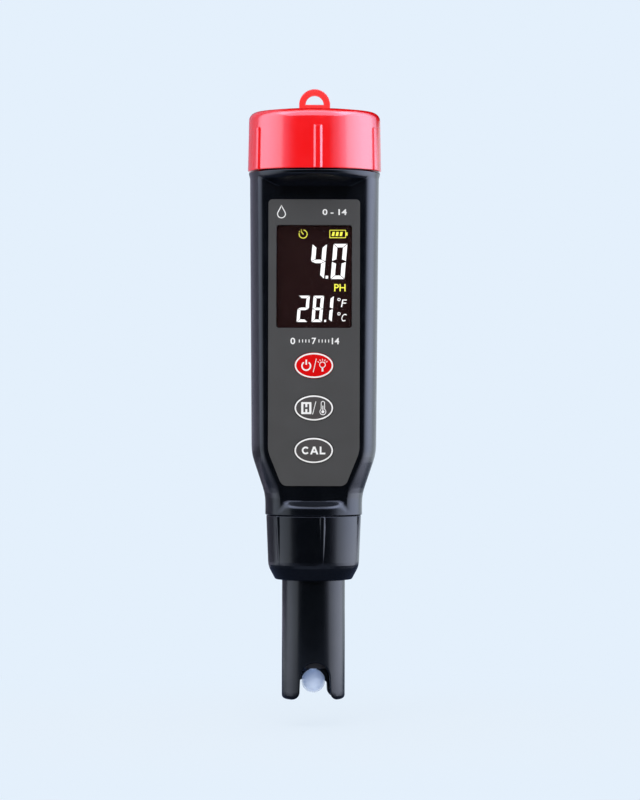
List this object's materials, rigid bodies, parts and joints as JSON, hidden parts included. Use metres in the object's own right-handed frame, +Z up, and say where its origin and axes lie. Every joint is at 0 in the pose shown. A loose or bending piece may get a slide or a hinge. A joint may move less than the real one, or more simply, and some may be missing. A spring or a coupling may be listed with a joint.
{
  "type": "pen ph meter",
  "caption": "Pen-style pH meter: round barrel with a flat display front and oval keys, screw-on red battery cap with a lanyard loop, and a plug-in glass electrode under a collar nut.",
  "frame": {"origin": "on the pen's axis, level with the tips of the electrode's guard, at the bottom centre of the box", "axes": "+Z up along the pen's axis towards the battery cap; the display and keys face -Y; +X to the right as they are read"},
  "size_m": [0.0394, 0.0406, 0.18],
  "materials": {
    "black_plastic": "satin",
    "red_plastic": "gloss",
    "panel_film": "satin",
    "clear_lens": "gloss",
    "display_glass": "gloss",
    "plated_steel": "satin",
    "white_plastic": "satin",
    "zebra_rubber": "matte",
    "circuit_board": "satin",
    "chip_black": "matte",
    "ceramic": "matte",
    "cell_jacket": "satin",
    "gold_contact": "satin",
    "lead_wire": "satin",
    "seal_rubber": "satin",
    "bulb_glass": "gloss",
    "electrolyte": "gloss",
    "silver": "satin",
    "key_red": "satin",
    "key_grey": "satin",
    "plunger_tan": "satin"
  },
  "bodies": {
    "barrel": {"housing": "black_plastic", "face_panel": "panel_film", "display_window": "clear_lens", "lcd_bezel": "plated_steel", "lcd_glass": "display_glass", "light_guide": "white_plastic", "contact_strips": "zebra_rubber", "main_board": "circuit_board", "microcontroller": "chip_black", "amplifier_chip": "chip_black", "crystal": "plated_steel", "capacitors": "ceramic", "backlight_leds": "ceramic", "switch_bases": "chip_black", "board_screws": "plated_steel", "battery_tray": "black_plastic", "battery_cells": "cell_jacket", "cell_spring": "plated_steel", "cell_plate": "gold_contact", "battery_leads": "lead_wire", "mouth_seal_ring": "seal_rubber", "electrode_socket": "white_plastic", "socket_contacts": "gold_contact", "sensor_leads": "lead_wire"},
    "cap_contact": {"contact_disc": "white_plastic", "bridge_contact": "gold_contact", "bridge_springs": "plated_steel"},
    "cap": {"battery_cap": "red_plastic", "lanyard_loop": "red_plastic", "swivel_screw": "plated_steel"},
    "electrode": {"electrode_sleeve": "black_plastic", "glass_electrode": "bulb_glass", "bulb_fill": "electrolyte", "silver_wire": "silver", "reference_gel": "electrolyte", "reference_wire": "silver", "tip_seal": "seal_rubber", "reference_junction": "ceramic", "temperature_sensor": "silver", "electrode_head": "white_plastic", "contact_pins": "gold_contact", "head_seal_ring": "seal_rubber", "flange_gasket": "seal_rubber"},
    "collar": {"collar_nut": "black_plastic"},
    "power_button": {"power_key": "key_red", "power_plunger": "plunger_tan"},
    "hold_button": {"hold_key": "key_grey", "hold_plunger": "plunger_tan"},
    "cal_button": {"cal_key": "key_grey", "cal_plunger": "plunger_tan"}
  },
  "joints": [
    {"name": "cap_turn", "type": "hinge", "parent": "cap_contact", "child": "cap", "pos_m": [0, 0, 0.16], "axis": [0, 0, 1], "range_deg": [0, 1800]},
    {"name": "cap_lift", "type": "slide", "parent": "barrel", "child": "cap_contact", "axis": [0, 0, 1], "range_m": [0, 0.0151]},
    {"name": "collar_turn", "type": "hinge", "parent": "electrode", "child": "collar", "pos_m": [0, 0, 0.045], "axis": [0, 0, -1], "range_deg": [0, 1080]},
    {"name": "electrode_slide", "type": "slide", "parent": "barrel", "child": "electrode", "axis": [0, 0, -1], "range_m": [0, 0.0076]},
    {"name": "power_press", "type": "slide", "parent": "barrel", "child": "power_button", "axis": [0, 1, 0], "range_m": [0, 0.00025], "stiffness_N_per_m": 2000},
    {"name": "hold_press", "type": "slide", "parent": "barrel", "child": "hold_button", "axis": [0, 1, 0], "range_m": [0, 0.00025], "stiffness_N_per_m": 2000},
    {"name": "cal_press", "type": "slide", "parent": "barrel", "child": "cal_button", "axis": [0, 1, 0], "range_m": [0, 0.00025], "stiffness_N_per_m": 2000}
  ],
  "couplings": [
    {"joint": "cap_lift", "follows": "cap_turn", "m_per_rad": 0.00047746},
    {"joint": "electrode_slide", "follows": "collar_turn", "m_per_rad": 0.00039789}
  ]
}
